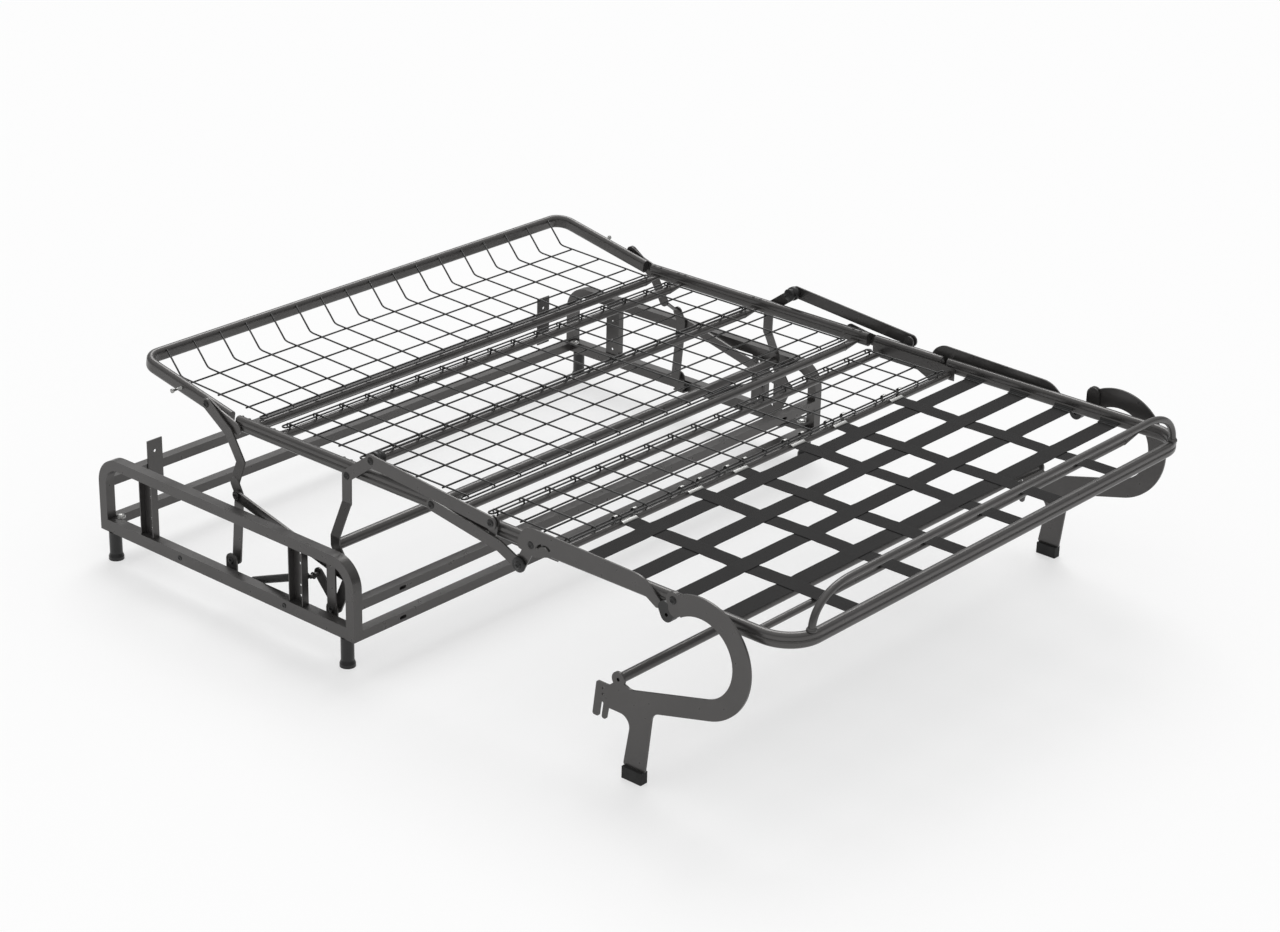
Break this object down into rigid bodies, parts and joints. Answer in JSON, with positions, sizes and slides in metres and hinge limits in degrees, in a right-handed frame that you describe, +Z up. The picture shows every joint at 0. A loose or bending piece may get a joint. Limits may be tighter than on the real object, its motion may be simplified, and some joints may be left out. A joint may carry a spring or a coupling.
{
  "type": "sofa bed mechanism",
  "caption": "Folding steel sofa bed mechanism opened into a bed: base frame, tilted headrest, wire mesh sections, webbing foot section, linked arms and hooked leg plates.",
  "frame": {"origin": "on the floor, under the middle of the opened bed", "axes": "+X across the bed, +Y towards the head end, +Z up"},
  "size_m": [1.628, 1.96, 0.514],
  "materials": {
    "frame_coat": "satin dark anthracite powder coat",
    "mesh_wire": "dark dipped wire",
    "leg_plastic": "black moulded",
    "black_plastic": "black moulded",
    "webbing": "woven charcoal webbing",
    "foot_rubber": "matt black",
    "spring_coat": "black coated spring wire"
  },
  "bodies": {
    "base": {"side_frame_left": "frame_coat", "side_frame_right": "frame_coat", "rear_upper_crossbar": "frame_coat", "rear_lower_crossbar": "frame_coat", "front_upper_crossbar": "frame_coat", "front_lower_crossbar": "frame_coat", "base_legs": "leg_plastic", "pivot_tabs_left": "frame_coat", "pivot_tabs_right": "frame_coat", "armrest_strips_left": "frame_coat", "armrest_strips_right": "frame_coat", "back_brackets": "frame_coat", "springs": "spring_coat"},
    "front_arms": {"front_arm_left": "frame_coat", "front_arm_right": "frame_coat", "arm_cross_tube": "frame_coat"},
    "rear_arms": {"rear_arm_left": "frame_coat", "rear_arm_right": "frame_coat"},
    "diagonal_links": {"diagonal_links": "frame_coat"},
    "main_section": {"main_rail_left": "frame_coat", "main_rail_right": "frame_coat", "main_crossbars": "frame_coat", "main_mesh": "mesh_wire"},
    "headrest": {"headrest_frame": "frame_coat", "headrest_hinges": "frame_coat", "headrest_lower_bar": "frame_coat", "headrest_mesh": "mesh_wire", "headrest_mesh_rear": "mesh_wire"},
    "short_section": {"short_rail_left": "frame_coat", "short_rail_right": "frame_coat", "short_crossbars": "frame_coat", "short_mesh": "mesh_wire"},
    "upper_links": {"upper_links": "frame_coat"},
    "lower_links": {"lower_links": "frame_coat"},
    "foot_section": {"foot_frame": "frame_coat", "foot_plates": "frame_coat", "leg_brackets": "frame_coat", "bumpers": "black_plastic", "foot_crossbars": "frame_coat", "cross_straps": "webbing", "long_straps": "webbing", "mattress_hoop": "frame_coat"},
    "leg_frame": {"leg_plate_left": "frame_coat", "leg_plate_right": "frame_coat", "leg_cross_tube": "frame_coat", "leg_feet": "foot_rubber"}
  },
  "joints": [
    {"name": "fold", "type": "hinge", "parent": "base", "child": "front_arms", "pos_m": [0, 0.2408, 0.1015], "axis": [-1, 0, 0], "range_deg": [0, 70.85], "deforming": ["springs"]},
    {"name": "rear_arm_swing", "type": "hinge", "parent": "base", "child": "rear_arms", "pos_m": [0, 0.5674, 0.1108], "axis": [-1, 0, 0], "range_deg": [0, 41.44]},
    {"name": "diagonal_swing", "type": "hinge", "parent": "rear_arms", "child": "diagonal_links", "pos_m": [0, 0.5527, 0.2718], "axis": [1, 0, 0], "range_deg": [0, 39.82]},
    {"name": "main_tilt", "type": "hinge", "parent": "front_arms", "child": "main_section", "pos_m": [0, 0.2408, 0.4036], "axis": [1, 0, 0], "range_deg": [0, 66.43]},
    {"name": "headrest_fold", "type": "hinge", "parent": "main_section", "child": "headrest", "pos_m": [0, 0.6003, 0.4043], "axis": [1, 0, 0], "range_deg": [0, 77.02]},
    {"name": "upper_link_swing", "type": "hinge", "parent": "front_arms", "child": "upper_links", "pos_m": [0, 0.16, 0.4641], "axis": [1, 0, 0], "range_deg": [0, 63.8]},
    {"name": "lower_link_swing", "type": "hinge", "parent": "main_section", "child": "lower_links", "pos_m": [0, -0.0161, 0.4161], "axis": [-1, 0, 0], "range_deg": [0, 71.73]},
    {"name": "short_fold", "type": "hinge", "parent": "main_section", "child": "short_section", "pos_m": [0, -0.1146, 0.4075], "axis": [-1, 0, 0], "range_deg": [0, 88.63]},
    {"name": "foot_fold", "type": "hinge", "parent": "short_section", "child": "foot_section", "pos_m": [0, -0.2974, 0.4132], "axis": [-1, 0, 0], "range_deg": [0, 85.12]},
    {"name": "leg_fold", "type": "hinge", "parent": "foot_section", "child": "leg_frame", "pos_m": [0, -0.703, 0.437], "axis": [-1, 0, 0], "range_deg": [0, 58]}
  ],
  "couplings": [
    {"joint": "rear_arm_swing", "follows": "fold", "ratio": 0.58471},
    {"joint": "diagonal_swing", "follows": "fold", "ratio": 0.56189},
    {"joint": "main_tilt", "follows": "fold", "ratio": 0.93748},
    {"joint": "headrest_fold", "follows": "fold", "ratio": 1.087},
    {"joint": "upper_link_swing", "follows": "fold", "ratio": 0.90041},
    {"joint": "lower_link_swing", "follows": "fold", "ratio": 1.0122},
    {"joint": "short_fold", "follows": "fold", "ratio": 1.2508},
    {"joint": "foot_fold", "follows": "fold", "ratio": 1.2012}
  ]
}
